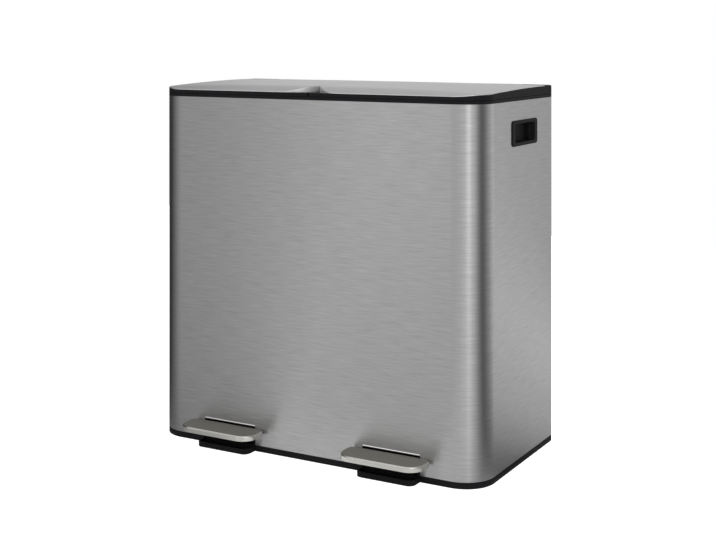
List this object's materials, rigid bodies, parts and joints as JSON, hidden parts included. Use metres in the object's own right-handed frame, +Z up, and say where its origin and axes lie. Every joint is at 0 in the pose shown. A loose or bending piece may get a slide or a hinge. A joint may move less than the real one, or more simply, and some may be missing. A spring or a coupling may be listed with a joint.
{
  "type": "double recycling bin",
  "caption": "Free-standing pedal recycling bin in brushed steel with two rear-hinged lids side by side, a pedal for each, inner buckets and side grips.",
  "frame": {"origin": "on the floor, in the middle of the rectangle that the bin and its pedals stand in", "axes": "+Z up, +Y from the pedals towards the rear hinges, +X to the right seen from the front"},
  "size_m": [0.5932, 0.3426, 0.5877],
  "materials": {
    "body_steel": "fine level brushing, clear fingerprint coat",
    "lid_steel": "fine brushing, pressed crown and rolled edge",
    "pedal_steel": "satin pressing with rolled edge",
    "plated_steel": "zinc plated",
    "black_plastic": "moulded, fine satin texture",
    "grey_plastic": "moulded",
    "bucket_plastic": "moulded polypropylene",
    "foot_rubber": "moulded rubber"
  },
  "bodies": {
    "body": {"outer_shell": "body_steel", "base_ring": "black_plastic", "base_deck": "black_plastic", "pedal_bays": "black_plastic", "base_feet": "foot_rubber", "pedal_pivot_pins": "plated_steel", "top_rim": "black_plastic", "hinge_pins": "plated_steel", "rod_guides": "grey_plastic", "left_pedal_guard": "black_plastic", "left_damper_cylinder": "grey_plastic", "left_rod_cover": "grey_plastic", "left_side_handle": "black_plastic", "right_pedal_guard": "black_plastic", "right_damper_cylinder": "grey_plastic", "right_rod_cover": "grey_plastic", "right_side_handle": "black_plastic"},
    "left_lid": {"left_lid_cover": "lid_steel", "left_lid_frame": "black_plastic", "left_crank_pin": "plated_steel", "left_lid_bumpers": "foot_rubber"},
    "left_pedal": {"left_pedal_pad": "pedal_steel", "left_pedal_lever": "plated_steel"},
    "left_rod": {"left_push_rod": "plated_steel", "left_rod_yoke": "grey_plastic", "left_rod_foot": "grey_plastic", "left_damper_rod": "plated_steel"},
    "left_bucket_body": {"left_bucket": "bucket_plastic"},
    "right_lid": {"right_lid_cover": "lid_steel", "right_lid_frame": "black_plastic", "right_crank_pin": "plated_steel", "right_lid_bumpers": "foot_rubber"},
    "right_pedal": {"right_pedal_pad": "pedal_steel", "right_pedal_lever": "plated_steel"},
    "right_rod": {"right_push_rod": "plated_steel", "right_rod_yoke": "grey_plastic", "right_rod_foot": "grey_plastic", "right_damper_rod": "plated_steel"},
    "right_bucket_body": {"right_bucket": "bucket_plastic"}
  },
  "joints": [
    {"name": "left_lid_hinge", "type": "hinge", "parent": "body", "child": "left_lid", "pos_m": [-0.1475, 0.16475, 0.5795], "axis": [-1, 0, 0], "range_deg": [0, 78]},
    {"name": "left_pedal_pivot", "type": "hinge", "parent": "body", "child": "left_pedal", "pos_m": [-0.1475, -0.04905, 0.022], "axis": [1, 0, 0], "range_deg": [0, 8.99]},
    {"name": "left_rod_slide", "type": "slide", "parent": "body", "child": "left_rod", "axis": [0, 0, 1], "range_m": [0, 0.03023]},
    {"name": "left_bucket_lift", "type": "slide", "parent": "body", "child": "left_bucket_body", "axis": [0, 0, 1], "range_m": [0, 0.015]},
    {"name": "right_lid_hinge", "type": "hinge", "parent": "body", "child": "right_lid", "pos_m": [0.1475, 0.16475, 0.5795], "axis": [-1, 0, 0], "range_deg": [0, 78]},
    {"name": "right_pedal_pivot", "type": "hinge", "parent": "body", "child": "right_pedal", "pos_m": [0.1475, -0.04905, 0.022], "axis": [1, 0, 0], "range_deg": [0, 8.99]},
    {"name": "right_rod_slide", "type": "slide", "parent": "body", "child": "right_rod", "axis": [0, 0, 1], "range_m": [0, 0.03023]},
    {"name": "right_bucket_lift", "type": "slide", "parent": "body", "child": "right_bucket_body", "axis": [0, 0, 1], "range_m": [0, 0.015]}
  ],
  "couplings": [
    {"joint": "left_pedal_pivot", "follows": "left_lid_hinge", "ratio": 0.11496},
    {"joint": "left_rod_slide", "follows": "left_lid_hinge", "m_per_rad": 0.022189},
    {"joint": "right_pedal_pivot", "follows": "right_lid_hinge", "ratio": 0.11496},
    {"joint": "right_rod_slide", "follows": "right_lid_hinge", "m_per_rad": 0.022189}
  ]
}
